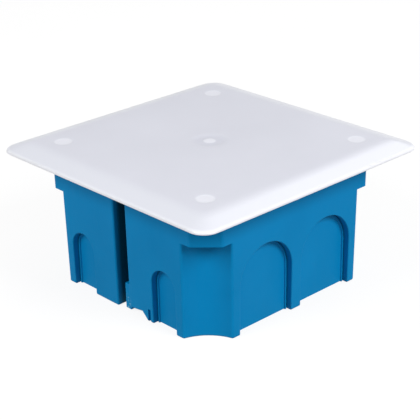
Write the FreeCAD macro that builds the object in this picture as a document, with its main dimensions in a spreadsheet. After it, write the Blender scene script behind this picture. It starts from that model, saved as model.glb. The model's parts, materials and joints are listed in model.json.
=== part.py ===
import FreeCAD, Part
import math
import os
import Sketcher

# A flush-mounting electrical junction box: a blue moulded box with break-out knock-outs and a
# white press-on lid. Millimetres, +Z towards the lid, origin under the middle of the floor.
# The front (-Y) and back walls carry the narrow knock-outs and the linking slot, the right (+X)
# and left walls the wide ones. Back and left repeat front and right, turned half a turn.

DIMENSIONS = [
    ("base_half", 42.75, "half width over the walls at the floor"),
    ("draft", 0.75, "mould draft of the walls, degrees"),
    ("shell_top", 50.2, "height of the box without its lid"),
    ("band_base", 36.0, "underside of the corner blocks"),
    ("band_chamfer", 7.7, "leg of the chamfer on a corner block"),
    ("notch_centre", 46.8, "axis of the hollow below a corner block, from both centre planes"),
    ("notch_radius", 16.3, "radius of that hollow"),
    ("notch_round", 1.0, "rounding of the hollow's edges"),
    ("foot_round", 0.6, "rounding along the walls' lower edge"),
    ("edge_round", 0.35, "rounding of the openings' edges"),
    ("slot_round", 0.7, "rounding of the slot's upright edges"),
    ("dish_round", 0.35, "inside rounding of a knock-out's dish"),
    ("rim_round", 0.2, "rounding of the dish's edge"),
    ("band_round", 1.6, "rounding of the corner block's upright edges"),
    ("wall", 2.0, "wall thickness"),
    ("floor", 2.0, "floor thickness"),
    ("wide_half", 12.5, "half width of a wide knock-out, for 25 mm conduit"),
    ("wide_centre", 14.9, "wide knock-outs from the middle of the wall"),
    ("wide_spring", 17.9, "height where a wide knock-out's arch springs"),
    ("narrow_half", 5.9, "half width of a narrow knock-out"),
    ("narrow_centre", 21.5, "narrow knock-outs from the middle of the wall"),
    ("narrow_spring", 16.2, "height where a narrow knock-out's arch springs"),
    ("ledge_depth", 2.05, "from the wall's face to a knock-out's rim"),
    ("panel_depth", 2.65, "from the wall's face to a knock-out's panel"),
    ("ledge", 0.9, "width of a knock-out's rim"),
    ("panel", 1.2, "panel thickness"),
    ("score", 0.3, "clear width of the score line round a knock-out"),
    ("collar", 1.5, "wall of the collar round a knock-out"),
    ("slot_half", 3.1, "half width of the linking slot"),
    ("slot_depth", 6.5, "depth of the linking slot"),
    ("slot_wall", 1.7, "walls of the slot's channel"),
    ("step_near", 1.2, "how far the foot beside the slot is raised at the slot"),
    ("step_height", 2.2, "how far it is raised at the far end of that stretch"),
    ("step_flat", 9.6, "end of the raised stretch, from the middle of the wall"),
    ("step_foot", 11.9, "where the raised stretch has run down to the floor"),
    ("step_depth", 6.6, "depth of the raised stretch, from the wall's face"),
    ("step_bevel", 1.0, "bevel along the raised foot"),
    ("bevel_slope", 40.0, "slope of that bevel, degrees"),
    ("lug_edge", 0.7, "free edge of the lug in the slot, from the middle of the wall"),
    ("lug_low", 0.8, "underside of the lug"),
    ("lug_high", 10.4, "top of the lug"),
    ("lug_root", 0.3, "how far the lug runs on past the slot's edge"),
    ("lug_set", 0.5, "lug's face behind the wall's face"),
    ("lug_thick", 1.8, "lug thickness"),
    ("tooth_pitch", 1.5, "pitch of the teeth on the slot's edge"),
    ("tooth_depth", 0.5, "depth of a tooth gap"),
    ("groove_low", 13.05, "groove beside the narrow knock-out, inner edge"),
    ("groove_wide", 1.4, "width of that groove"),
    ("groove_high", 4.8, "height of that groove"),
    ("groove_depth", 0.8, "depth of that groove"),
    ("socket_at", 37.1, "peg sockets from both centre planes"),
    ("socket_radius", 1.7, "radius of a peg socket"),
    ("disc_at", 18.0, "floor knock-outs from both centre planes"),
    ("disc_radius", 10.0, "radius of a floor knock-out's opening, for 20 mm conduit"),
    ("disc_dish", 7.6, "radius of the thinned middle of a floor knock-out"),
    ("disc_rim", 1.6, "thickness of a floor knock-out at its rim"),
    ("screw_at", 30.0, "floor fixing holes from the middle"),
    ("screw_radius", 2.25, "radius of a fixing hole"),
    ("boss_radius", 4.5, "radius of the boss round a fixing hole"),
    ("boss_high", 3.2, "top of that boss"),
    ("lid_half", 53.5, "half the side of the square lid"),
    ("lid_corner", 6.0, "plan radius of the lid's corners"),
    ("lid_seat", 48.3, "underside of the lid's rim"),
    ("lid_top", 51.8, "flat top of the lid"),
    ("lid_sheet", 1.5, "thickness of the lid"),
    ("lid_rim", 1.3, "least width of the flat land under the lid's edge"),
    ("border_run", 10.0, "width of the lid's sloping border"),
    ("border_flat", 4.5, "straight part of that slope, from the edge inwards"),
    ("border_slope", 18.7, "slope at the lid's edge, degrees"),
    ("skirt_half", 40.6, "half width over the skirt under the lid"),
    ("skirt_notch", 19.1, "radius of the skirt's corners about the notch axis"),
    ("skirt_wall", 1.2, "thickness of the skirt"),
    ("skirt_low", 45.9, "lower edge of the skirt"),
    ("skirt_gap", 5.8, "half width of the skirt's gap round the slot's channel"),
    ("peg_radius", 1.4, "radius of a lid peg"),
    ("barb_radius", 1.6, "radius of the barbs on a peg"),
    ("peg_low", 37.8, "tip of a peg"),
    ("barb_first", 2.0, "lowest barb above the tip of a peg"),
    ("barb_pitch", 2.6, "pitch of the barbs"),
    ("barb_high", 0.8, "height of a barb"),
    ("mark_radius", 3.75, "radius of the sink mark over a peg"),
    ("mark_depth", 0.25, "depth of that mark"),
    ("gate_radius", 6.2, "radius of the dish round the moulding gate"),
    ("gate_depth", 0.3, "depth of that dish"),
]

XY, XZ, YZ = "XY_Plane", "XZ_Plane", "YZ_Plane"
WALLS = {"front": (XZ, False), "right": (YZ, False), "back": (XZ, True), "left": (YZ, True)}
LONG_WALLS = ("right", "left")
SLOT_WALLS = ("front", "back")
BARBS = 3
TEETH = 6

# How far a cut runs past the solid, and how far a tooth gap starts inside the slot.
CLEAR = 1.0
OVERLAP = 0.1

# Limits for picking the edges to round: the least rise of an upright edge on the lower block
# and on the corner band, the most it may lean, how near its place it lies, and what is level.
LOWER_RISE = 20.0
BAND_RISE = 10.0
LEAN = 1.0
NEAR = 0.5
LEVEL = 0.01
ON_FACE = 0.02

doc = FreeCAD.newDocument("junction_box")


class Size:
    """A length that carries its value and the sheet expression that gives it."""

    def __init__(self, value, text):
        self.value = value
        self.text = text

    def join(self, sign, other, value):
        return Size(value, f"({self.text} {sign} {as_size(other).text})")

    def __add__(self, other):
        return self.join("+", other, self.value + as_size(other).value)

    def __sub__(self, other):
        return self.join("-", other, self.value - as_size(other).value)

    def __mul__(self, other):
        return self.join("*", other, self.value * as_size(other).value)

    def __truediv__(self, other):
        return self.join("/", other, self.value / as_size(other).value)

    def __neg__(self):
        return Size(-self.value, f"(-1 * {self.text})")


def as_size(number):
    if isinstance(number, Size):
        return number
    return Size(float(number), f"({float(number)})")


def root(size):
    return Size(math.sqrt(size.value), f"sqrt({size.text})")


def sine(size):
    return Size(math.sin(math.radians(size.value)), f"sin({size.text})")


def cosine(size):
    return Size(math.cos(math.radians(size.value)), f"cos({size.text})")


def tangent(size):
    return Size(math.tan(math.radians(size.value)), f"tan({size.text})")


def make_sheet():
    sheet = doc.addObject("Spreadsheet::Sheet", "dims")
    sizes = {}
    for row, (alias, value, note) in enumerate(DIMENSIONS, start=1):
        sheet.set(f"A{row}", note)
        sheet.set(f"B{row}", str(value))
        sheet.setAlias(f"B{row}", alias)
        sizes[alias] = Size(value, f"dims.{alias}")
    doc.recompute()
    return sizes


dims = make_sheet()


# ---- sketches --------------------------------------------------------------------------------

def origin_plane(body, role):
    return next(f for f in body.Origin.OriginFeatures if f.Role == role)


def new_sketch(body, name, role, height=None, turned=False):
    """A sketch parallel to an origin plane, lifted by height along its normal.

    A turned sketch is the same sketch carried half a turn about the box's upright axis.
    """
    sketch = body.newObject("Sketcher::SketchObject", name)
    sketch.AttachmentSupport = [(origin_plane(body, role), "")]
    sketch.MapMode = "FlatFace"
    lift = as_size(0) if height is None else height
    if turned:
        lift = -lift
        half_turn = FreeCAD.Rotation(FreeCAD.Vector(0, 1, 0), 180)
        sketch.AttachmentOffset = FreeCAD.Placement(FreeCAD.Vector(), half_turn)
    sketch.setExpression("AttachmentOffset.Base.z", lift.text)
    return sketch


def wall_sketch(body, name, wall, from_centre):
    role, turned = WALLS[wall]
    return new_sketch(body, name, role, from_centre, turned)


def name_constraint(sketch, constraint, size):
    index = sketch.addConstraint(constraint)
    label = f"size{index}"
    sketch.renameConstraint(index, label)
    sketch.setExpression(f"Constraints.{label}", size.text)


def fix_along(sketch, geometry, end, axis, size):
    """Ties one coordinate of a point to the sheet: axis 0 is across, 1 is up."""
    kind, zero_line = (("DistanceX", -2), ("DistanceY", -1))[axis]
    if size.value == 0:
        sketch.addConstraint(Sketcher.Constraint("PointOnObject", geometry, end, zero_line))
    elif size.value > 0:
        rule = Sketcher.Constraint(kind, -1, 1, geometry, end, size.value)
        name_constraint(sketch, rule, size)
    else:
        rule = Sketcher.Constraint(kind, geometry, end, -1, 1, -size.value)
        name_constraint(sketch, rule, -size)


def fix_point(sketch, geometry, end, point):
    for axis in (0, 1):
        fix_along(sketch, geometry, end, axis, point[axis])


def vector(point):
    return FreeCAD.Vector(point[0].value, point[1].value, 0)


def outline(sketch, corners, arcs=None):
    """A closed outline through corners.

    arcs gives, for the edge that starts at corner i, its centre, its radius and whether it
    runs anticlockwise. Every other edge is straight.
    """
    arcs = arcs or {}
    corners = [(as_size(x), as_size(y)) for x, y in corners]
    ends = []
    for i, start in enumerate(corners):
        first, last = vector(start), vector(corners[(i + 1) % len(corners)])
        if i not in arcs:
            edge = sketch.addGeometry(Part.LineSegment(first, last))
            ends.append((edge, 1, 2))
            continue
        centre, radius, anticlockwise = arcs[i]
        middle = vector([as_size(value) for value in centre])
        if not anticlockwise:
            first, last = last, first
        angles = [math.atan2(p.y - middle.y, p.x - middle.x) for p in (first, last)]
        if angles[1] <= angles[0]:
            angles[1] += 2 * math.pi
        circle = Part.Circle(middle, FreeCAD.Vector(0, 0, 1), radius.value)
        edge = sketch.addGeometry(Part.ArcOfCircle(circle, angles[0], angles[1]))
        ends.append((edge, 1, 2) if anticlockwise else (edge, 2, 1))
    for i, (edge, start, _) in enumerate(ends):
        before = ends[i - 1]
        sketch.addConstraint(Sketcher.Constraint("Coincident", before[0], before[2], edge, start))
    for i, (edge, start, _) in enumerate(ends):
        fix_point(sketch, edge, start, corners[i])
    for i, (centre, _, _) in arcs.items():
        chord = vector(corners[(i + 1) % len(corners)]) - vector(corners[i])
        axis = 1 if abs(chord.x) >= abs(chord.y) else 0
        fix_along(sketch, ends[i][0], 3, axis, as_size(centre[axis]))


def rectangle(sketch, left, right, low, high):
    outline(sketch, [(left, low), (right, low), (right, high), (left, high)])


def circle(sketch, x, y, radius):
    point = (as_size(x), as_size(y))
    centre = vector(point)
    edge = sketch.addGeometry(Part.Circle(centre, FreeCAD.Vector(0, 0, 1), radius.value))
    fix_point(sketch, edge, 3, point)
    name_constraint(sketch, Sketcher.Constraint("Radius", edge, radius.value), radius)


def arch(sketch, middle, half, spring, foot):
    """A doorway: straight sides up to the springing line and half a circle over them."""
    left, right = middle - half, middle + half
    corners = [(left, foot), (right, foot), (right, spring), (left, spring)]
    outline(sketch, corners, {2: ((middle, spring), half, True)})


def notched_square(sketch, half, radius):
    """A square whose corners are hollowed by a circle about the notch axis."""
    centre = dims["notch_centre"]
    end = centre - root(radius * radius - (centre - half) * (centre - half))
    corners = [(-end, -half), (end, -half), (half, -end), (half, end),
               (end, half), (-end, half), (-half, end), (-half, -end)]
    arcs = {1: ((centre, -centre), radius, False), 3: ((centre, centre), radius, False),
            5: ((-centre, centre), radius, False), 7: ((-centre, -centre), radius, False)}
    outline(sketch, corners, arcs)


def cut_square(sketch, half, leg):
    """A square with flat corners."""
    end = half - leg
    outline(sketch, [(-end, -half), (end, -half), (half, -end), (half, end),
                     (end, half), (-end, half), (-half, end), (-half, -end)])


def rounded_square(sketch, half, radius):
    end = half - radius
    corners = [(-end, -half), (end, -half), (half, -end), (half, end),
               (end, half), (-end, half), (-half, end), (-half, -end)]
    arcs = {1: ((end, -end), radius, True), 3: ((end, end), radius, True),
            5: ((-end, end), radius, True), 7: ((-end, -end), radius, True)}
    outline(sketch, corners, arcs)


# ---- features --------------------------------------------------------------------------------

def new_body(name):
    body = doc.addObject("PartDesign::Body", name)
    body.Label = name
    return body


def grow(body, kind, name, sketch, length, adds, both_ways=False, taper=None, back=False):
    """Adds a Pad or a Pocket and makes sure that it did change the solid the right way."""
    before = body.Shape.Volume if body.Tip else 0.0
    feature = body.newObject(kind, name)
    feature.Profile = sketch
    if length is None:
        feature.Type = "ThroughAll"
    else:
        feature.setExpression("Length", length.text)
    if both_ways:
        feature.SideType = "Symmetric"
    feature.Reversed = back
    if taper is not None:
        feature.setExpression("TaperAngle", taper.text)
    sketch.Visibility = False
    body.Tip = feature
    doc.recompute()
    if "Invalid" in feature.State or "Invalid" in sketch.State:
        raise RuntimeError(f"{name} failed: {feature.State} {sketch.State}")
    change = body.Shape.Volume - before
    if change * (1 if adds else -1) <= 0:
        raise RuntimeError(f"{name} changed the volume by {change:.3f}")
    return feature


def pad(body, name, sketch, length, **options):
    return grow(body, "PartDesign::Pad", name, sketch, length, True, **options)


def pocket(body, name, sketch, length=None, **options):
    return grow(body, "PartDesign::Pocket", name, sketch, length, False, **options)


def round_edges(body, name, radius, wanted, kind="PartDesign::Fillet", size="Radius"):
    """Rounds or bevels every edge for which wanted(edge) holds."""
    base = body.Tip
    names = [f"Edge{i}" for i, edge in enumerate(base.Shape.Edges, start=1) if wanted(edge)]
    if not names:
        raise RuntimeError(f"{name} found no edges")
    feature = body.newObject(kind, name)
    feature.Base = (base, names)
    feature.setExpression(size, as_size(radius).text)
    body.Tip = feature
    doc.recompute()
    if "Invalid" in feature.State or not feature.Shape.isValid():
        raise RuntimeError(f"{name} failed on {len(names)} edges")
    return feature


def middle_of(edge):
    first, last = edge.ParameterRange
    return edge.valueAt((first + last) / 2)


def on_wall(edge, wall):
    """Whether an edge lies in a wall's drafted outer face, and its middle seen from outside."""
    role, turned = WALLS[wall]
    turn = -1 if turned else 1
    for spot in [vertex.Point for vertex in edge.Vertexes] + [middle_of(edge)]:
        out = (spot.x if role == YZ else -spot.y) * turn
        face = dims["base_half"].value + spot.z * math.tan(math.radians(dims["draft"].value))
        if abs(out - face) > ON_FACE:
            return None
    middle = middle_of(edge)
    across = (middle.y if role == YZ else middle.x) * turn
    return FreeCAD.Vector(across, middle.z, 0)


def is_upright(edge, at_least):
    low, high = edge.BoundBox.ZMin, edge.BoundBox.ZMax
    across = max(edge.BoundBox.XLength, edge.BoundBox.YLength)
    return high - low > at_least and across < LEAN


# ---- the box ---------------------------------------------------------------------------------

def outer_block(body):
    """The walls' outside: hollowed corners below, flat-cornered blocks above."""
    lower = new_sketch(body, "lower_outline", XY)
    notched_square(lower, dims["base_half"], dims["notch_radius"])
    pad(body, "lower_block", lower, dims["band_base"], taper=dims["draft"])
    round_edges(body, "notch_rounding", dims["notch_round"],
                lambda edge: is_upright(edge, LOWER_RISE))
    round_edges(body, "foot_rounding", dims["foot_round"],
                lambda edge: edge.BoundBox.ZMax < LEVEL)
    band_half = dims["base_half"] + dims["band_base"] * tangent(dims["draft"])
    upper = new_sketch(body, "band_outline", XY, dims["band_base"])
    cut_square(upper, band_half, dims["band_chamfer"])
    band_height = dims["shell_top"] - dims["band_base"]
    pad(body, "corner_band", upper, band_height, taper=dims["draft"])
    band = dims["band_base"].value
    round_edges(body, "band_rounding", dims["band_round"],
                lambda edge: is_upright(edge, BAND_RISE) and edge.BoundBox.ZMin > band - NEAR)


def cavity(body):
    sketch = new_sketch(body, "cavity_outline", XY, dims["floor"])
    at_floor = dims["base_half"] - dims["wall"] + dims["floor"] * tangent(dims["draft"])
    notched_square(sketch, at_floor, dims["notch_radius"] + dims["wall"])
    depth = dims["shell_top"] - dims["floor"]
    pocket(body, "cavity", sketch, depth, back=True, taper=dims["draft"])


def knockout_row(wall):
    """Half width, distance from the middle and springing height of a wall's knock-outs."""
    kind = "wide" if wall in LONG_WALLS else "narrow"
    return dims[f"{kind}_half"], dims[f"{kind}_centre"], dims[f"{kind}_spring"]


def panel_back():
    return dims["base_half"] - dims["panel_depth"] - dims["panel"]


def collars(body, wall):
    """Thickens the wall inwards round its two knock-outs."""
    half, centre, spring = knockout_row(wall)
    sketch = wall_sketch(body, f"{wall}_collar_outline", wall, panel_back())
    for middle in (-centre, centre):
        arch(sketch, middle, half + dims["collar"], spring, as_size(0))
    pad(body, f"{wall}_collars", sketch, dims["panel_depth"])


def openings(body, wall):
    """The two holes that the knock-outs fill."""
    half, centre, spring = knockout_row(wall)
    sketch = wall_sketch(body, f"{wall}_opening_outline", wall, panel_back() - dims["score"])
    for middle in (-centre, centre):
        arch(sketch, middle, half, spring, as_size(-CLEAR))
    pocket(body, f"{wall}_openings", sketch, dims["panel_depth"] * 3, back=True)
    reach = (centre + half).value + NEAR
    start = (centre - half).value - NEAR

    def is_outline(edge):
        middle = on_wall(edge, wall)
        return middle is not None and start < abs(middle.x) < reach

    round_edges(body, f"{wall}_opening_rounding", dims["edge_round"], is_outline)


def slot(body, wall):
    """The full-height linking slot, in a channel that stands into the box."""
    back = dims["base_half"] - dims["slot_depth"]
    channel = wall_sketch(body, f"{wall}_channel_outline", wall, back - dims["slot_wall"])
    outer = dims["slot_half"] + dims["slot_wall"]
    rectangle(channel, -outer, outer, as_size(0), dims["shell_top"])
    pad(body, f"{wall}_channel", channel, dims["slot_depth"])
    hollow = wall_sketch(body, f"{wall}_slot_outline", wall, back)
    half = dims["slot_half"]
    rectangle(hollow, -half, half, as_size(-CLEAR), dims["shell_top"] + CLEAR)
    pocket(body, f"{wall}_slot", hollow, dims["slot_depth"] * 2, back=True)


def slot_lips(body):
    """Rounds the upright outer edges of both slots."""
    def is_lip(edge):
        spots = [on_wall(edge, wall) for wall in SLOT_WALLS]
        reach = dims["slot_half"].value + NEAR
        return (is_upright(edge, LOWER_RISE)
                and any(spot and abs(spot.x) < reach for spot in spots))

    round_edges(body, "slot_rounding", dims["slot_round"], is_lip)


def stepped_foot(body, wall):
    """The raised, rising foot to the right of the slot, its bevel, and the groove beyond it."""
    low, high = dims["slot_half"], dims["step_flat"]
    inner = dims["base_half"] - dims["step_depth"]
    ceiling = wall_sketch(body, f"{wall}_step_ceiling_outline", wall, inner - dims["wall"])
    top = dims["step_height"] + dims["floor"]
    rectangle(ceiling, low, dims["step_foot"] + dims["wall"], as_size(0), top)
    pad(body, f"{wall}_step_ceiling", ceiling, dims["step_depth"])
    cut = wall_sketch(body, f"{wall}_step_outline", wall, inner)
    step_corners = [(low - CLEAR, as_size(-CLEAR)), (dims["step_foot"], as_size(-CLEAR)),
                    (dims["step_foot"], as_size(0)), (high, dims["step_height"]),
                    (low - CLEAR, dims["step_near"])]
    outline(cut, step_corners)
    pocket(body, f"{wall}_step", cut, dims["step_depth"] * 2, back=True)

    bevel = wall_sketch(body, f"{wall}_bevel_outline", wall,
                        dims["base_half"] - dims["step_bevel"])
    outline(bevel, step_corners)
    pocket(body, f"{wall}_step_bevel", bevel, dims["step_bevel"] * 2, back=True,
           taper=dims["bevel_slope"])
    groove = wall_sketch(body, f"{wall}_groove_outline", wall,
                         dims["base_half"] - dims["groove_depth"])
    left = dims["groove_low"]
    rectangle(groove, left, left + dims["groove_wide"], as_size(-CLEAR), dims["groove_high"])
    pocket(body, f"{wall}_groove", groove, dims["groove_depth"] * 2, back=True)


def lug_and_teeth(body, wall):
    """The lug on the slot's right-hand side and the teeth above it."""
    face = dims["base_half"] - dims["lug_set"]
    lug = wall_sketch(body, f"{wall}_lug_outline", wall, face - dims["lug_thick"])
    rectangle(lug, dims["lug_edge"], dims["slot_half"] + dims["lug_root"],
              dims["lug_low"], dims["lug_high"])
    pad(body, f"{wall}_lug", lug, dims["lug_thick"])
    teeth = wall_sketch(body, f"{wall}_teeth_outline", wall, face - dims["lug_thick"])
    edge, pitch = dims["slot_half"], dims["tooth_pitch"]
    mouth = edge - OVERLAP
    for number in range(TEETH):
        low = dims["lug_high"] + pitch * (number + 0.5)
        outline(teeth, [(mouth, low), (edge + dims["tooth_depth"], low + pitch / 4),
                        (mouth, low + pitch / 2)])
    pocket(body, f"{wall}_teeth", teeth, dims["lug_thick"] * 2, back=True)


def each_corner(sketch, distance, draw):
    for across in (-distance, distance):
        for along in (-distance, distance):
            draw(sketch, across, along)


def sockets(body):
    """Peg sockets, down through the corner blocks into the hollows below them."""
    sketch = new_sketch(body, "socket_outline", XY, dims["band_base"] - CLEAR)
    each_corner(sketch, dims["socket_at"], lambda s, x, y: circle(s, x, y, dims["socket_radius"]))
    pocket(body, "peg_sockets", sketch, dims["shell_top"] - dims["band_base"] + 2 * CLEAR,
           back=True)


def floor_holes(body):
    """Openings for the round floor knock-outs, and two fixing holes with bosses."""
    bosses = new_sketch(body, "boss_outline", XY)
    for at in (-dims["screw_at"], dims["screw_at"]):
        circle(bosses, at, 0, dims["boss_radius"])
    pad(body, "screw_bosses", bosses, dims["boss_high"])
    sketch = new_sketch(body, "floor_hole_outline", XY)
    each_corner(sketch, dims["disc_at"], lambda s, x, y: circle(s, x, y, dims["disc_radius"]))
    for at in (-dims["screw_at"], dims["screw_at"]):
        circle(sketch, at, 0, dims["screw_radius"])
    pocket(body, "floor_holes", sketch, dims["boss_high"] * 2, back=True)


def build_shell():
    body = new_body("box_shell")
    outer_block(body)
    cavity(body)
    for wall in WALLS:
        collars(body, wall)
    for wall in SLOT_WALLS:
        slot(body, wall)
    slot_lips(body)
    for wall in SLOT_WALLS:
        stepped_foot(body, wall)
        lug_and_teeth(body, wall)
    for wall in WALLS:
        openings(body, wall)
    sockets(body)
    floor_holes(body)
    return body


# ---- the knock-outs --------------------------------------------------------------------------

def build_knockout(name, wall, side):
    """A dished plate with a raised rim on its outside, open at its foot."""
    half, centre, spring = knockout_row(wall)
    middle = centre if side > 0 else -centre
    body = new_body(name)
    plate = wall_sketch(body, "plate_outline", wall, panel_back())
    arch(plate, middle, half - dims["score"], spring, as_size(0))
    rim = dims["panel"] + dims["panel_depth"] - dims["ledge_depth"]
    pad(body, "plate", plate, rim)
    dish = wall_sketch(body, "dish_outline", wall, panel_back() + dims["panel"])
    arch(dish, middle, half - dims["ledge"], spring, as_size(-CLEAR))
    pocket(body, "dish", dish, dims["panel_depth"], back=True)
    reach = half - dims["ledge"]

    def dish_edges(out):
        """Picks the dish's own edges that lie that far out from the middle plane."""
        role, _ = WALLS[wall]

        def is_one(edge):
            spots = [vertex.Point for vertex in edge.Vertexes] + [middle_of(edge)]
            outs = [abs(spot.x if role == YZ else spot.y) for spot in spots]
            sides = [abs(spot.y if role == YZ else spot.x) for spot in spots]
            level = all(abs(place - out.value) < LEVEL for place in outs)
            inside = all(abs(place - centre.value) < reach.value + ON_FACE for place in sides)
            return level and inside and edge.BoundBox.ZLength > LEAN

        return is_one

    floor_of_dish = panel_back() + dims["panel"]
    round_edges(body, "dish_rounding", dims["dish_round"], dish_edges(floor_of_dish))
    round_edges(body, "rim_rounding", dims["rim_round"], dish_edges(panel_back() + rim))
    return body


def build_floor_disc(name, across, along):
    body = new_body(name)
    sketch = new_sketch(body, "disc_outline", XY)
    circle(sketch, across, along, dims["disc_radius"] - dims["score"])
    pad(body, "disc", sketch, dims["disc_rim"])
    dish = new_sketch(body, "dish_outline", XY)
    circle(dish, across, along, dims["disc_dish"])
    pocket(body, "dish", dish, dims["disc_rim"] - dims["panel"], back=True)
    return body


# ---- the lid ---------------------------------------------------------------------------------

def border_profile(sketch, inset):
    """What the sloping border takes off, at both ends; inset lies that far below the skin."""
    slope = dims["border_slope"]
    flat = dims["lid_half"] - dims["border_run"]
    skin_radius = (dims["border_run"] - dims["border_flat"]) / sine(slope)
    radius = skin_radius - inset
    straight = flat + radius * sine(slope)
    top = dims["lid_top"] - inset
    drop = radius - radius * cosine(slope)
    outside = dims["lid_half"] + CLEAR
    low = top - drop - (outside - straight) * tangent(slope)
    for side in (1, -1):
        corners = [(flat, top), (straight, top - drop), (outside, low),
                   (outside, top + CLEAR), (flat, top + CLEAR)]
        corners = [(x * side, z) for x, z in corners]
        arc = ((flat * side, dims["lid_top"] - skin_radius), radius, side < 0)
        outline(sketch, corners, {0: arc})


def domed_square(body, half, corner, low, inset):
    """A rounded square plate with the lid's sloping border on all four sides."""
    sketch = new_sketch(body, "square_outline", XY, low)
    rounded_square(sketch, half, corner)
    pad(body, "square_block", sketch, dims["lid_top"] - inset - low)
    for role, name in ((XZ, "side_borders"), (YZ, "end_borders")):
        profile = new_sketch(body, f"{name}_profile", role)
        border_profile(profile, inset)
        pocket(body, name, profile, dims["lid_half"] * 3, both_ways=True)


def lid_plate(body):
    """The lid's skin: the domed square less the same form set in by the sheet's thickness."""
    nothing = as_size(0)
    domed_square(body, dims["lid_half"], dims["lid_corner"], dims["lid_seat"], nothing)
    core = new_body("lid_core")
    edge = dims["lid_rim"]
    domed_square(core, dims["lid_half"] - edge, dims["lid_corner"] - edge,
                 dims["lid_seat"] - CLEAR, dims["lid_sheet"])
    hollow = body.newObject("PartDesign::Boolean", "hollow")
    hollow.setObjects([core])
    hollow.Type = "Cut"
    body.Tip = hollow
    doc.recompute()


def lid_skirt(body):
    ceiling = dims["lid_top"] - dims["lid_sheet"]
    height = ceiling - dims["skirt_low"] + dims["lid_sheet"] / 2
    sketch = new_sketch(body, "skirt_outline", XY, dims["skirt_low"])
    notched_square(sketch, dims["skirt_half"], dims["skirt_notch"])
    inner = dims["skirt_half"] - dims["skirt_wall"]
    notched_square(sketch, inner, dims["skirt_notch"] + dims["skirt_wall"])
    pad(body, "skirt", sketch, height)
    gap = new_sketch(body, "skirt_gap_outline", XY, dims["skirt_low"] - CLEAR)
    for side in (-1, 1):
        near = (inner - CLEAR) * side
        far = (dims["skirt_half"] + CLEAR) * side
        rectangle(gap, -dims["skirt_gap"], dims["skirt_gap"], near, far)
    pocket(body, "skirt_gaps", gap, ceiling - dims["skirt_low"] + CLEAR, back=True)


def lid_pegs(body):
    ceiling = dims["lid_top"] - dims["lid_sheet"]
    pegs = new_sketch(body, "peg_outline", XY, dims["peg_low"])
    each_corner(pegs, dims["socket_at"], lambda s, x, y: circle(s, x, y, dims["peg_radius"]))
    pad(body, "pegs", pegs, ceiling - dims["peg_low"] + dims["lid_sheet"] / 2)
    for number in range(BARBS):
        height = dims["peg_low"] + dims["barb_first"] + dims["barb_pitch"] * number
        barbs = new_sketch(body, f"barb_outline_{number + 1}", XY, height)
        each_corner(barbs, dims["socket_at"],
                    lambda s, x, y: circle(s, x, y, dims["barb_radius"]))
        pad(body, f"barbs_{number + 1}", barbs, dims["barb_high"])


def sink_mark(body, name, across, along, radius, depth):
    """A shallow round dimple in the lid's top."""
    ball_radius = (radius * radius + depth * depth) / (depth * 2)
    ball = body.newObject("PartDesign::SubtractiveSphere", name)
    ball.AttachmentSupport = [(origin_plane(body, XY), "")]
    ball.MapMode = "FlatFace"
    ball.setExpression("Radius", ball_radius.text)
    ball.setExpression("AttachmentOffset.Base.x", as_size(across).text)
    ball.setExpression("AttachmentOffset.Base.y", as_size(along).text)
    height = dims["lid_top"] + ball_radius - depth
    ball.setExpression("AttachmentOffset.Base.z", height.text)
    body.Tip = ball
    doc.recompute()


def build_lid():
    body = new_body("lid")
    lid_plate(body)
    lid_skirt(body)
    lid_pegs(body)
    marks = dims["socket_at"]
    for number, (x, y) in enumerate([(-1, -1), (1, -1), (1, 1), (-1, 1)], start=1):
        sink_mark(body, f"sink_mark_{number}", marks * x, marks * y,
                  dims["mark_radius"], dims["mark_depth"])
    sink_mark(body, "gate_dish", 0, 0, dims["gate_radius"], dims["gate_depth"])
    return body


# ---- the whole object ------------------------------------------------------------------------

def build_all():
    bodies = [build_shell(), build_lid()]
    for wall, names in (("right", ("front", "rear")), ("left", ("rear", "front")),
                        ("front", ("left", "right")), ("back", ("right", "left"))):
        for side, place in zip((-1, 1), names):
            bodies.append(build_knockout(f"knockout_{wall}_{place}", wall, side))
    corners = [(-1, -1), (1, -1), (1, 1), (-1, 1)]
    for number, (x, y) in enumerate(corners, start=1):
        name = f"floor_knockout_{number}"
        bodies.append(build_floor_disc(name, dims["disc_at"] * x, dims["disc_at"] * y))
    return bodies


def check(bodies):
    doc.recompute()
    for item in doc.Objects:
        if "Invalid" in item.State or "Error" in item.State:
            raise RuntimeError(f"{item.Name} is {item.State}")
    for body in bodies:
        shape = body.Shape
        if shape.isNull() or not shape.isValid() or len(shape.Solids) != 1:
            raise RuntimeError(f"{body.Label} is not one valid solid")
        box = shape.BoundBox
        print(f"{body.Label}: {shape.Volume:.0f} mm3, "
              f"{box.XLength:.2f} x {box.YLength:.2f} x {box.ZLength:.2f} mm")


def export(bodies):
    os.makedirs("parts", exist_ok=True)
    for body in bodies:
        body.Shape.exportStep(f"parts/{body.Label}.step")


all_bodies = build_all()
check(all_bodies)
export(all_bodies)
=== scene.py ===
import json
import math
import bpy
from mathutils import Matrix, Vector


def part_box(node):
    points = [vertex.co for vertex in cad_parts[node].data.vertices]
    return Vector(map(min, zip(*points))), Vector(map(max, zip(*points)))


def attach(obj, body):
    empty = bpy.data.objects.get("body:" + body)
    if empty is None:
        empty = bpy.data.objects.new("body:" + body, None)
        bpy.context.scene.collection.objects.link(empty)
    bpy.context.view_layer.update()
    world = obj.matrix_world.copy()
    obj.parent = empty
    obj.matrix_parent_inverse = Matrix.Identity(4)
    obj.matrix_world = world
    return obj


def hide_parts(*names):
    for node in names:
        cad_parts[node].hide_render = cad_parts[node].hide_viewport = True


# Looks for a flush-mounting junction box: blue moulded box, white press-on lid.
# Lengths are metres; MM turns the small sizes below into metres.

MM = 0.001
CREASE = math.radians(38)

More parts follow.
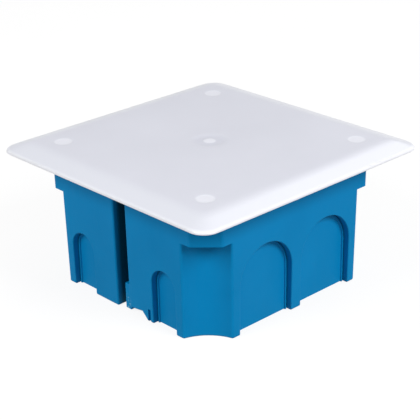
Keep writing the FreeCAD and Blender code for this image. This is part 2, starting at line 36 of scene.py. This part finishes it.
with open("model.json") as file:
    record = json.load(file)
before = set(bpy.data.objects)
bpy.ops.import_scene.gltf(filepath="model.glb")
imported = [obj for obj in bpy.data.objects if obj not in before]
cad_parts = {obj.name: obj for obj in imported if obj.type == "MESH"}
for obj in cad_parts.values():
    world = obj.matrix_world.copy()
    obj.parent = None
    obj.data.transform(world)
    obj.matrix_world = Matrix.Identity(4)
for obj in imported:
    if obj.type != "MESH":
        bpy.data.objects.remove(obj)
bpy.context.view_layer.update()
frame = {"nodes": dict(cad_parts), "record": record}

# ---- sizes, as in the design ------------------------------------------------------------------

LID_LOW, LID_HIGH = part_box("lid")
LID_HALF = LID_HIGH.x
LID_TOP = LID_HIGH.z
PEG_LOW = LID_LOW.z
LID_SEAT = Vector(next(mount for mount in frame["record"]["mounts"]
                       if mount["name"] == "lid_rim_face")["pos_m"]).z
WALL_FACE = 42.75 * MM
SLOT_HALF = 3.1 * MM
SLOT_BACK = WALL_FACE - 6.5 * MM
LUG_TOP = 10.4 * MM
LID_CORNER = 6.0 * MM
LID_SHEET = 1.5 * MM
LID_LAND = 1.3 * MM
BORDER_RUN = 10.0 * MM
BORDER_FLAT = 4.5 * MM
BORDER_SLOPE = math.radians(18.7)
SKIRT_HALF = 40.6 * MM
SKIRT_NOTCH = 19.1 * MM
SKIRT_WALL = 1.2 * MM
SKIRT_LOW = 45.9 * MM
SKIRT_GAP = 5.8 * MM
NOTCH_CENTRE = 46.8 * MM
PEG_AT = 37.1 * MM
PEG_RADIUS = 1.4 * MM
BARB_RADIUS = 1.6 * MM
BARB_FIRST = 2.0 * MM
BARB_PITCH = 2.6 * MM
BARB_HIGH = 0.8 * MM
BARBS = 3

# ---- finer shape, which only the looks have ---------------------------------------------------

MITRE_POWER = 3.2           # how sharply two sloping borders meet over a corner
EDGE_ROUND = 0.7 * MM
UNDER_ROUND = 0.25 * MM
SKIRT_ROUND = 0.3 * MM
PEG_TIP_ROUND = 0.5 * MM
BARB_FLANK = 0.6 * BARB_HIGH

# Marks on the lid's top, shallower and softer than the design's dimples, and a raised pip.
MARK_RADIUS = 3.6 * MM
MARK_EDGE = 0.9 * MM
MARK_DEPTH = 0.12 * MM
GATE_RADIUS = 7.5 * MM
GATE_EDGE = 3.5 * MM
GATE_DEPTH = 0.25 * MM
PIP_RADIUS = 2.6 * MM
PIP_EDGE = 0.8 * MM
PIP_HIGH = 0.12 * MM

# ---- colours, and where they are painted ------------------------------------------------------

BLUE = ((0.0008, 0.232, 0.530), (0.0016, 0.256, 0.575))
# Painted shade: the insides of the slots are coloured darker, standing for the shade deep in them.
SLOT_PAINTED_SHADE = (0.0004, 0.085, 0.150)
# Pale specks low on the lugs.
PALE_SPECK_TINT = (0.24, 0.55, 0.72)
WHITE = ((0.690, 0.700, 0.775), (0.715, 0.725, 0.800))
# Painted light: the border that overhangs the box is coloured paler, standing for light that comes
# up through the thin sheet.
BORDER_PAINTED_LIGHT = (0.725, 0.740, 0.805)
# Painted light: the lid's thin outer edge is coloured paler, so that it stays bright where it faces
# sideways.
RIM_PAINTED_LIGHT = (0.88, 0.89, 0.94)
# Painted light: pale discs over the pegs, standing for light that comes through the thin sheet
# there, and a painted highlight on the centre pip.
PEG_AND_PIP_PAINTED_LIGHT = (0.80, 0.81, 0.88)
# Painted shade in the shallow dish round the lid's centre.
GATE_PAINTED_SHADE = (0.66, 0.67, 0.75)
FLOOR = ((0.14, 0.14, 0.14), (0.16, 0.16, 0.16))
FLOOR_GLOW = 0.87

# Half the width of the change from a slot's left side to its right, at the wall's face.
SIDE_MARGIN = 0.4 * MM

# Each pair is where a tint starts and where it is full: places on the box, or for the specks
# a noise texture's value.
# Where the slots' painted shade starts and where it is full.
SHADE_OVER_LUG = (LUG_TOP - 1.0 * MM, LUG_TOP + 2.0 * MM)
SHADE_ACROSS = (SLOT_HALF + 0.5 * MM, SLOT_HALF + 0.1 * MM)
SHADE_INWARDS = (WALL_FACE - 0.6 * MM, WALL_FACE - 2.6 * MM)
SHADE_BACK = (SLOT_BACK - 0.9 * MM, SLOT_BACK - 0.3 * MM)
PALE_SPECK_VALUES = (0.58, 0.66)
PALE_SPECK_ACROSS = (SLOT_HALF + 1.2 * MM, SLOT_HALF + 0.3 * MM)
PALE_SPECK_OUTWARDS = (WALL_FACE - 1.4 * MM, WALL_FACE - 0.8 * MM)
PALE_SPECK_DOWNWARDS = (LUG_TOP * 0.7, LUG_TOP * 0.3)
RIM_DOWNWARDS = (LID_SEAT + 1.5 * MM, LID_SEAT + 0.9 * MM)

# Most of a noise texture's values lie between these two.
NOISE_LOW = 0.3
NOISE_HIGH = 0.7


# ---- mesh helpers -----------------------------------------------------------------------------

def new_piece(name, vertices, faces):
    """A smooth-shaded object whose real corners, over CREASE, stay sharp."""
    mesh = bpy.data.meshes.new(name)
    mesh.from_pydata([tuple(v) for v in vertices], [], faces)
    mesh.validate()
    mesh.shade_smooth()
    mesh.set_sharp_from_angle(angle=CREASE)
    obj = bpy.data.objects.new(name, mesh)
    bpy.context.scene.collection.objects.link(obj)
    return obj


def join(solids):
    """One list of vertices and one of faces from several closed solids."""
    vertices, faces = [], []
    for points, sides in solids:
        start = len(vertices)
        vertices += points
        faces += [tuple(start + index for index in side) for side in sides]
    return vertices, faces


def spread(start, end, count):
    """count evenly spaced values after start, up to and including end."""
    return [start + (end - start) * step / count for step in range(1, count + 1)]


def quarter_turn(steps):
    """Angles from 0 to a right angle, both included."""
    return [0.0] + spread(0, math.pi / 2, steps)


def revolve(profile, turns, across=0.0, along=0.0):
    """Turns (radius, height) points about an upright axis; an upward profile faces outwards."""
    vertices, faces = [], []
    for radius, height in profile:
        for turn in range(turns):
            angle = 2 * math.pi * turn / turns
            vertices.append((across + radius * math.cos(angle),
                             along + radius * math.sin(angle), height))
    for level in range(len(profile) - 1):
        low, high = level * turns, (level + 1) * turns
        for turn in range(turns):
            after = (turn + 1) % turns
            faces.append((low + turn, low + after, high + after, high + turn))
    return vertices, faces


# ---- the lid ----------------------------------------------------------------------------------

def border_drop(x, y):
    """How far the lid's sloping border has fallen at a point."""
    flat = LID_HALF - BORDER_RUN
    across = max(abs(x) - flat, 0.0)
    along = max(abs(y) - flat, 0.0)
    out = (across ** MITRE_POWER + along ** MITRE_POWER) ** (1 / MITRE_POWER)
    radius = (BORDER_RUN - BORDER_FLAT) / math.sin(BORDER_SLOPE)
    bend = BORDER_RUN - BORDER_FLAT
    if out < bend:
        return radius - math.sqrt(radius * radius - out * out)
    return radius * (1 - math.cos(BORDER_SLOPE)) + (out - bend) * math.tan(BORDER_SLOPE)


def smooth(start, end, value):
    """0 before start, 1 after end, with a soft step between."""
    share = min(max((value - start) / (end - start), 0.0), 1.0)
    return share * share * (3 - 2 * share)


def dish(distance, radius, edge, depth):
    """A shallow round hollow, flat in the middle, whose sides are edge wide."""
    return depth * (1 - smooth(radius - edge, radius, distance))


def lid_skin(x, y):
    """Height of the lid's upper face."""
    from_middle = math.hypot(x, y)
    from_peg = math.hypot(abs(x) - PEG_AT, abs(y) - PEG_AT)
    fall = border_drop(x, y)
    fall += dish(from_peg, MARK_RADIUS, MARK_EDGE, MARK_DEPTH)
    fall += dish(from_middle, GATE_RADIUS, GATE_EDGE, GATE_DEPTH)
    fall -= dish(from_middle, PIP_RADIUS, PIP_EDGE, PIP_HIGH)
    return LID_TOP - fall


def lid_ceiling(x, y):
    return LID_TOP - border_drop(x, y) - LID_SHEET


def grid_lines(corner_radius):
    """Grid lines from edge to edge, close together where the lid's face bends."""
    corner_centre = LID_HALF - LID_CORNER
    stretches = ((GATE_RADIUS, 16), (PEG_AT - MARK_RADIUS, 8), (PEG_AT + MARK_RADIUS, 20),
                 (corner_centre, 6), (corner_centre + corner_radius, 7))
    half = [0.0]
    for end, lines in stretches:
        half += spread(half[-1], end, lines)
    return [-value for value in reversed(half[1:])] + half


def rounded_corner(x, y):
    """Moves a point of the square's corner onto the quarter disc that rounds it."""
    centre = LID_HALF - LID_CORNER
    across, along = abs(x) - centre, abs(y) - centre
    if across <= 0 or along <= 0:
        return x, y
    reach = max(across, along)
    angle = math.pi / 4 * min(across, along) / reach
    if along > across:
        angle = math.pi / 2 - angle
    across, along = reach * math.cos(angle), reach * math.sin(angle)
    return math.copysign(centre + across, x), math.copysign(centre + along, y)


def outward(x, y):
    """Unit vector that points straight out of the lid's outline."""
    centre = LID_HALF - LID_CORNER
    arm = Vector((max(abs(x) - centre, 0), max(abs(y) - centre, 0), 0)).normalized()
    return Vector((math.copysign(arm.x, x), math.copysign(arm.y, y), 0))


def ring_of(count):
    """Indices (column, row) round the edge of a square grid, anticlockwise."""
    last = count - 1
    ring = [(step, 0) for step in range(last)]
    ring += [(last, step) for step in range(last)]
    ring += [(last - step, last) for step in range(last)]
    ring += [(0, last - step) for step in range(last)]
    return ring


def rim_profile():
    """Section of the lid's edge as (inset from the outline, height above the rim's foot).

    The first part rounds the upper edge: there the height is taken from the skin instead.
    """
    angles = quarter_turn(6)
    upper = [(EDGE_ROUND * (1 - math.sin(angle)), EDGE_ROUND * (1 - math.cos(angle)))
             for angle in angles[1:]]
    lower = [(UNDER_ROUND * (1 - math.cos(angle)), UNDER_ROUND * (1 - math.sin(angle)))
             for angle in angles]
    return upper, lower


def lid_shell():
    """The lid's skin as one closed sheet: upper face, rounded rim, land and underside."""
    top_lines = grid_lines(LID_CORNER - EDGE_ROUND)
    under_lines = grid_lines(LID_CORNER - LID_LAND)
    count = len(top_lines)
    vertices, faces = [], []

    def face_grid(lines, height, upwards):
        start = len(vertices)
        for y in lines:
            for x in lines:
                px, py = rounded_corner(x, y)
                vertices.append((px, py, height(px, py)))
        for row in range(count - 1):
            for column in range(count - 1):
                corner = start + row * count + column
                quad = (corner, corner + 1, corner + count + 1, corner + count)
                faces.append(quad if upwards else quad[::-1])
        return [start + row * count + column for column, row in ring_of(count)]

    top_ring = face_grid(top_lines, lid_skin, True)
    under_ring = face_grid(under_lines, lid_ceiling, False)
    edge = []
    for index in top_ring:
        x, y, _ = vertices[index]
        way = outward(x, y)
        edge.append((Vector((x, y, 0)) + way * EDGE_ROUND, way))

    upper, lower = rim_profile()
    rings = [top_ring]
    for inset, fall in upper:
        rings.append(range(len(vertices), len(vertices) + len(edge)))
        for point, way in edge:
            spot = point - way * inset
            vertices.append((spot.x, spot.y, lid_skin(spot.x, spot.y) - fall))
    for inset, rise in lower:
        rings.append(range(len(vertices), len(vertices) + len(edge)))
        for point, way in edge:
            spot = point - way * inset
            vertices.append((spot.x, spot.y, LID_SEAT + rise))
    rings.append(under_ring)
    size = len(edge)
    for outer, inner in zip(rings, rings[1:]):
        for step in range(size):
            after = (step + 1) % size
            faces.append((outer[step], inner[step], inner[after], outer[after]))
    return vertices, faces


def notched_run(half, radius):
    """Plan of one half of the skirt, from the front gap round two notches to the back gap."""
    lean = math.asin((NOTCH_CENTRE - half) / radius)
    steps = 14
    arc = []
    for step in range(steps + 1):
        angle = math.pi - lean - (math.pi / 2 - 2 * lean) * step / steps
        arc.append((NOTCH_CENTRE + radius * math.cos(angle),
                    -NOTCH_CENTRE + radius * math.sin(angle)))
    front = [(SKIRT_GAP, -half)] + arc
    return front + [(x, -y) for x, y in reversed(front)]


def skirt_section():
    """Section of the skirt as (depth from its outer face, height), with a rounded lower edge."""
    root = LID_TOP - LID_SHEET / 2
    corner = [(SKIRT_ROUND * (1 - math.cos(angle)),
               SKIRT_LOW + SKIRT_ROUND * (1 - math.sin(angle))) for angle in quarter_turn(4)]
    inner = [(SKIRT_WALL - depth, height) for depth, height in reversed(corner)]
    return [(0.0, root)] + corner + inner + [(SKIRT_WALL, root)]


def skirt_half(side):
    """One closed half of the skirt; side is 1 for the right one and -1 for the left one."""
    outer = notched_run(SKIRT_HALF, SKIRT_NOTCH)
    inner = notched_run(SKIRT_HALF - SKIRT_WALL, SKIRT_NOTCH + SKIRT_WALL)
    section = skirt_section()
    ring = len(section)
    vertices, faces = [], []
    for (ox, oy), (ix, iy) in zip(outer, inner):
        for depth, height in section:
            share = depth / SKIRT_WALL
            vertices.append((side * (ox + (ix - ox) * share), oy + (iy - oy) * share, height))
    for place in range(len(outer) - 1):
        for step in range(ring):
            after = (step + 1) % ring
            near, far = place * ring, (place + 1) * ring
            faces.append((near + step, near + after, far + after, far + step))
    last = (len(outer) - 1) * ring
    faces.append(tuple(reversed(range(ring))))
    faces.append(tuple(range(last, last + ring)))
    return vertices, [face if side > 0 else face[::-1] for face in faces]


def peg_profile():
    """Half section of a peg as (radius, height): a rounded tip and barbs tapered towards it."""
    profile = [(PEG_RADIUS - PEG_TIP_ROUND * (1 - math.sin(angle)),
                PEG_LOW + PEG_TIP_ROUND * (1 - math.cos(angle))) for angle in quarter_turn(4)]
    for number in range(BARBS):
        low = PEG_LOW + BARB_FIRST + BARB_PITCH * number
        profile += [(PEG_RADIUS, low), (BARB_RADIUS, low + BARB_FLANK),
                    (BARB_RADIUS, low + BARB_HIGH), (PEG_RADIUS, low + BARB_HIGH)]
    profile.append((PEG_RADIUS, LID_TOP - LID_SHEET / 2))
    return profile


def peg(across, along):
    """A barbed round peg as one closed solid of revolution."""
    turns = 28
    vertices, faces = revolve(peg_profile(), turns, across, along)
    count = len(vertices)
    faces.append(tuple(reversed(range(turns))))
    faces.append(tuple(range(count - turns, count)))
    return vertices, faces


def build_lid():
    """The whole lid moulding: skin, the skirt's two halves and the four pegs."""
    pegs = [peg(PEG_AT * x, PEG_AT * y) for x in (-1, 1) for y in (-1, 1)]
    vertices, faces = join([lid_shell(), skirt_half(1), skirt_half(-1)] + pegs)
    lid = new_piece("lid_moulding", vertices, faces)
    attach(lid, "lid")
    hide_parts("lid")
    return lid


# ---- materials --------------------------------------------------------------------------------

def new_material(name):
    material = bpy.data.materials.new(name)
    material.use_nodes = True
    nodes = material.node_tree.nodes
    shader = nodes["Principled BSDF"]
    return material, nodes, material.node_tree.links, shader


def noise(nodes, links, place, scale, detail, roughness=0.5, stretch=(1, 1, 1)):
    """Values of a noise texture fixed to the object, scale cells to a metre."""
    mapping = nodes.new("ShaderNodeMapping")
    mapping.inputs["Scale"].default_value = stretch
    texture = nodes.new("ShaderNodeTexNoise")
    texture.inputs["Scale"].default_value = scale
    texture.inputs["Detail"].default_value = detail
    texture.inputs["Roughness"].default_value = roughness
    links.new(place.outputs["Object"], mapping.inputs["Vector"])
    links.new(mapping.outputs["Vector"], texture.inputs["Vector"])
    return texture.outputs["Fac"]


def ramp(nodes, links, value, colours):
    """Runs from the first colour to the second over a noise texture's values."""
    node = nodes.new("ShaderNodeValToRGB")
    places = (NOISE_LOW, NOISE_HIGH)
    for element, place, colour in zip(node.color_ramp.elements, places, colours):
        element.position = place
        element.color = (*colour, 1)
    links.new(value, node.inputs["Fac"])
    return node.outputs["Color"]


def spread_value(nodes, links, value, low, high):
    """Runs from low to high over a noise texture's values."""
    node = nodes.new("ShaderNodeMapRange")
    node.inputs["From Min"].default_value = NOISE_LOW
    node.inputs["From Max"].default_value = NOISE_HIGH
    node.inputs["To Min"].default_value = low
    node.inputs["To Max"].default_value = high
    links.new(value, node.inputs["Value"])
    return node.outputs["Result"]


def bump(nodes, links, height, distance, strength, before=None):
    node = nodes.new("ShaderNodeBump")
    node.inputs["Distance"].default_value = distance
    node.inputs["Strength"].default_value = strength
    links.new(height, node.inputs["Height"])
    if before is not None:
        links.new(before, node.inputs["Normal"])
    return node.outputs["Normal"]


def calculate(nodes, links, operation, *values):
    """A maths node on sockets or plain numbers."""
    node = nodes.new("ShaderNodeMath")
    node.operation = operation
    for socket, value in zip(node.inputs, values):
        if isinstance(value, (int, float)):
            socket.default_value = value
        else:
            links.new(value, socket)
    return node.outputs["Value"]


def soft_step(nodes, links, value, start, end):
    """0 at start and 1 at end, with a smooth step between."""
    node = nodes.new("ShaderNodeMapRange")
    node.interpolation_type = "SMOOTHSTEP"
    node.inputs["From Min"].default_value = start
    node.inputs["From Max"].default_value = end
    links.new(value, node.inputs["Value"])
    return node.outputs["Result"]


def product(nodes, links, first, *others):
    for other in others:
        first = calculate(nodes, links, "MULTIPLY", first, other)
    return first


def spans(nodes, links, place):
    """Distances from the two upright centre planes, and the height."""
    parts = nodes.new("ShaderNodeSeparateXYZ")
    links.new(place.outputs["Object"], parts.inputs["Vector"])
    across = calculate(nodes, links, "ABSOLUTE", parts.outputs["X"])
    along = calculate(nodes, links, "ABSOLUTE", parts.outputs["Y"])
    return across, along, parts.outputs["Z"]


def disc_mask(nodes, links, place, at, radius, edge):
    """1 inside the discs that stand at +-at on both axes, 0 outside, soft at the edge."""
    across, along, _ = spans(nodes, links, place)
    flat = nodes.new("ShaderNodeCombineXYZ")
    links.new(across, flat.inputs["X"])
    links.new(along, flat.inputs["Y"])
    distance = nodes.new("ShaderNodeVectorMath")
    distance.operation = "DISTANCE"
    distance.inputs[1].default_value = (at, at, 0)
    links.new(flat.outputs["Vector"], distance.inputs[0])
    return soft_step(nodes, links, distance.outputs["Value"], radius, radius - edge)


def blend_colour(nodes, links, mask, base, colour):
    node = nodes.new("ShaderNodeMix")
    node.data_type = "RGBA"
    links.new(mask, node.inputs["Factor"])
    links.new(base, node.inputs["A"])
    node.inputs["B"].default_value = (*colour, 1)
    return node.outputs["Result"]


def clear_side(nodes, links, place):
    """1 to the left of each slot's middle, the side without the lug, and 0 to its right."""
    parts = nodes.new("ShaderNodeSeparateXYZ")
    links.new(place.outputs["Object"], parts.inputs["Vector"])
    side = calculate(nodes, links, "MULTIPLY", parts.outputs["X"], parts.outputs["Y"])
    margin = SIDE_MARGIN * WALL_FACE
    return soft_step(nodes, links, side, -margin, margin)


def slot_shade_mask(nodes, links, place):
    """Where painted shade darkens the colour: 1 deep inside the two upright slots, but for the lugs
    at their right-hand sides.
    """
    across, along, height = spans(nodes, links, place)
    no_lug = clear_side(nodes, links, place)
    above = soft_step(nodes, links, height, *SHADE_OVER_LUG)
    return product(nodes, links,
                   calculate(nodes, links, "MAXIMUM", no_lug, above),
                   soft_step(nodes, links, across, *SHADE_ACROSS),
                   soft_step(nodes, links, along, *SHADE_INWARDS),
                   soft_step(nodes, links, along, *SHADE_BACK))


def pale_speck_mask(nodes, links, place):
    """Small pale specks low on the lugs, to the right of each slot's middle."""
    across, along, height = spans(nodes, links, place)
    lug_side = calculate(nodes, links, "SUBTRACT", 1.0, clear_side(nodes, links, place))
    specks = noise(nodes, links, place, scale=1300.0, detail=2.0)
    return product(nodes, links,
                   soft_step(nodes, links, specks, *PALE_SPECK_VALUES),
                   lug_side,
                   soft_step(nodes, links, across, *PALE_SPECK_ACROSS),
                   soft_step(nodes, links, along, *PALE_SPECK_OUTWARDS),
                   soft_step(nodes, links, height, *PALE_SPECK_DOWNWARDS))


def blue_plastic():
    """Satin polypropylene: fine mould grain, faint flow mottling and upright drag lines, with
    painted shade deep in the slots and pale specks low on the lugs.
    """
    material, nodes, links, shader = new_material("blue_moulded_plastic")
    place = nodes.new("ShaderNodeTexCoord")
    clouds = noise(nodes, links, place, scale=45.0, detail=4.0)
    grain = noise(nodes, links, place, scale=1900.0, detail=2.0)
    drag = noise(nodes, links, place, scale=420.0, detail=3.0, roughness=0.6,
                 stretch=(1, 1, 0.04))
    colour = ramp(nodes, links, clouds, BLUE)
    # Painted shade deep in the slots, then pale specks low on the lugs.
    for mask, tint in ((slot_shade_mask(nodes, links, place), SLOT_PAINTED_SHADE),
                       (pale_speck_mask(nodes, links, place), PALE_SPECK_TINT)):
        colour = blend_colour(nodes, links, mask, colour, tint)
    links.new(colour, shader.inputs["Base Color"])
    links.new(spread_value(nodes, links, drag, low=0.40, high=0.50), shader.inputs["Roughness"])
    fine = bump(nodes, links, grain, distance=0.03 * MM, strength=0.5)
    normal = bump(nodes, links, drag, distance=0.05 * MM, strength=0.35, before=fine)
    links.new(normal, shader.inputs["Normal"])
    shader.inputs["IOR"].default_value = 1.49
    shader.inputs["Specular IOR Level"].default_value = 0.06
    return material


def border_mask(nodes, links, place):
    """0 over the lid's flat middle, 1 over its sloping border."""
    across, along, _ = spans(nodes, links, place)
    reach = calculate(nodes, links, "MAXIMUM", across, along)
    return soft_step(nodes, links, reach, LID_HALF - BORDER_RUN, LID_HALF - BORDER_FLAT)


def rim_light_mask(nodes, links, place):
    """Where painted light brightens the colour: 1 on the lid's thin outer edge."""
    _, _, height = spans(nodes, links, place)
    edge = soft_step(nodes, links, height, *RIM_DOWNWARDS)
    return product(nodes, links, edge, border_mask(nodes, links, place))


def white_plastic():
    """Glossy white sheet: painted light over the pegs, on the border and at the thin edge, a
    painted highlight on the pip and painted shade in the gate's dish.
    """
    material, nodes, links, shader = new_material("white_moulded_plastic")
    place = nodes.new("ShaderNodeTexCoord")
    clouds = noise(nodes, links, place, scale=30.0, detail=3.0)
    grain = noise(nodes, links, place, scale=1500.0, detail=2.0)
    colour = ramp(nodes, links, clouds, WHITE)
    pegs = disc_mask(nodes, links, place, PEG_AT, MARK_RADIUS, MARK_EDGE)
    gate = disc_mask(nodes, links, place, 0.0, GATE_RADIUS, GATE_EDGE)
    pip = disc_mask(nodes, links, place, 0.0, PIP_RADIUS, PIP_EDGE)
    # Painted light on the border, the thin edge and over the pegs, painted shade in the dish round
    # the centre and a painted highlight on the pip.
    for mask, tint in ((border_mask(nodes, links, place), BORDER_PAINTED_LIGHT),
                       (rim_light_mask(nodes, links, place), RIM_PAINTED_LIGHT),
                       (pegs, PEG_AND_PIP_PAINTED_LIGHT), (gate, GATE_PAINTED_SHADE), (pip, PEG_AND_PIP_PAINTED_LIGHT)):
        colour = blend_colour(nodes, links, mask, colour, tint)
    links.new(colour, shader.inputs["Base Color"])
    links.new(spread_value(nodes, links, clouds, low=0.28, high=0.34), shader.inputs["Roughness"])
    fine = bump(nodes, links, grain, distance=0.01 * MM, strength=0.3)
    links.new(fine, shader.inputs["Normal"])
    shader.inputs["IOR"].default_value = 1.5
    return material


def pale_floor():
    """A light table: white by its own glow, so that shadows on it stay faint."""
    material, nodes, links, shader = new_material("pale_floor")
    place = nodes.new("ShaderNodeTexCoord")
    clouds = noise(nodes, links, place, scale=3.0, detail=3.0)
    links.new(ramp(nodes, links, clouds, FLOOR), shader.inputs["Base Color"])
    shader.inputs["Emission Color"].default_value = (1, 1, 1, 1)
    shader.inputs["Emission Strength"].default_value = FLOOR_GLOW
    shader.inputs["Roughness"].default_value = 0.8
    shader.inputs["Specular IOR Level"].default_value = 0.0
    return material


def dress(obj, material):
    obj.data.materials.clear()
    obj.data.materials.append(material)


# ---- floor, light and camera --------------------------------------------------------------------

AZIMUTH = math.radians(46.85)
ELEVATION = math.radians(23.92)
ROLL = math.radians(-1.09)
DISTANCE = 457.0 * MM
AIM_BELOW_SEAT = 21.75 * MM
AIM_RIGHT = 0.13 * MM
LENS = 109.2                # millimetres, as the camera takes them
SENSOR = 36.0
LIGHT_DISTANCE = 1.1        # metres, as are the next two
SWEEP_START = 2.6
SWEEP_RISE = 0.6
WORLD_STRENGTH = 0.28


def camera_axes():
    """Right, up and back unit vectors of the camera."""
    level = math.cos(ELEVATION)
    back = Vector((math.sin(AZIMUTH) * level, -math.cos(AZIMUTH) * level, math.sin(ELEVATION)))
    right = Vector((math.cos(AZIMUTH), math.sin(AZIMUTH), 0))
    up = back.cross(right)
    rolled = right * math.cos(ROLL) + up * math.sin(ROLL)
    return rolled, back.cross(rolled), back


def place_camera():
    right, up, back = camera_axes()
    aim = Vector((0, 0, LID_SEAT)) - up * AIM_BELOW_SEAT + right * AIM_RIGHT
    spot = aim + back * DISTANCE
    data = bpy.data.cameras.new("camera")
    data.lens = LENS
    data.sensor_width = SENSOR
    data.clip_start = 0.01
    camera = bpy.data.objects.new("camera", data)
    turn = Matrix((right, up, back)).transposed().to_4x4()
    camera.matrix_world = Matrix.Translation(spot) @ turn
    bpy.context.scene.collection.objects.link(camera)
    bpy.context.scene.camera = camera


def soft_light(name, azimuth, elevation, side, power):
    """A square softbox, side metres wide, that looks at the box from that direction."""
    azimuth, elevation = math.radians(azimuth), math.radians(elevation)
    level = math.cos(elevation)
    way = Vector((math.sin(azimuth) * level, -math.cos(azimuth) * level, math.sin(elevation)))
    data = bpy.data.lights.new(name, "AREA")
    data.shape = "SQUARE"
    data.size = side
    data.energy = power
    light = bpy.data.objects.new(name, data)
    light.location = way * LIGHT_DISTANCE + Vector((0, 0, LID_SEAT / 2))
    light.rotation_euler = way.to_track_quat("Z", "Y").to_euler()
    bpy.context.scene.collection.objects.link(light)


def sweep():
    """A round floor whose edge curves up into a low backdrop."""
    turns = 64
    levels = [(SWEEP_START + SWEEP_RISE * math.sin(angle), SWEEP_RISE * (1 - math.cos(angle)))
              for angle in quarter_turn(10)]
    vertices, faces = revolve(levels, turns)
    inward = [face[::-1] for face in faces]
    return vertices, inward + [tuple(range(turns))]


def studio():
    world = bpy.data.worlds.new("studio")
    world.use_nodes = True
    background = world.node_tree.nodes["Background"]
    background.inputs["Color"].default_value = (1, 1, 1, 1)
    background.inputs["Strength"].default_value = WORLD_STRENGTH
    bpy.context.scene.world = world
    soft_light("right_softbox", azimuth=98, elevation=37, side=0.45, power=8.2)
    soft_light("left_softbox", azimuth=-8, elevation=37, side=0.45, power=6.2)
    soft_light("back_softbox", azimuth=185, elevation=40, side=0.7, power=2.4)
    floor = new_piece("floor", *sweep())
    dress(floor, pale_floor())
    # The floor's glow stays out of the light on the walls.
    floor.visible_diffuse = False
    bpy.context.scene.view_settings.view_transform = "Standard"


# ---- the whole scene -----------------------------------------------------------------------------

blue = blue_plastic()
white = white_plastic()
for name, node in frame["nodes"].items():
    dress(node, white if name == "lid" else blue)
dress(build_lid(), white)
studio()
place_camera()
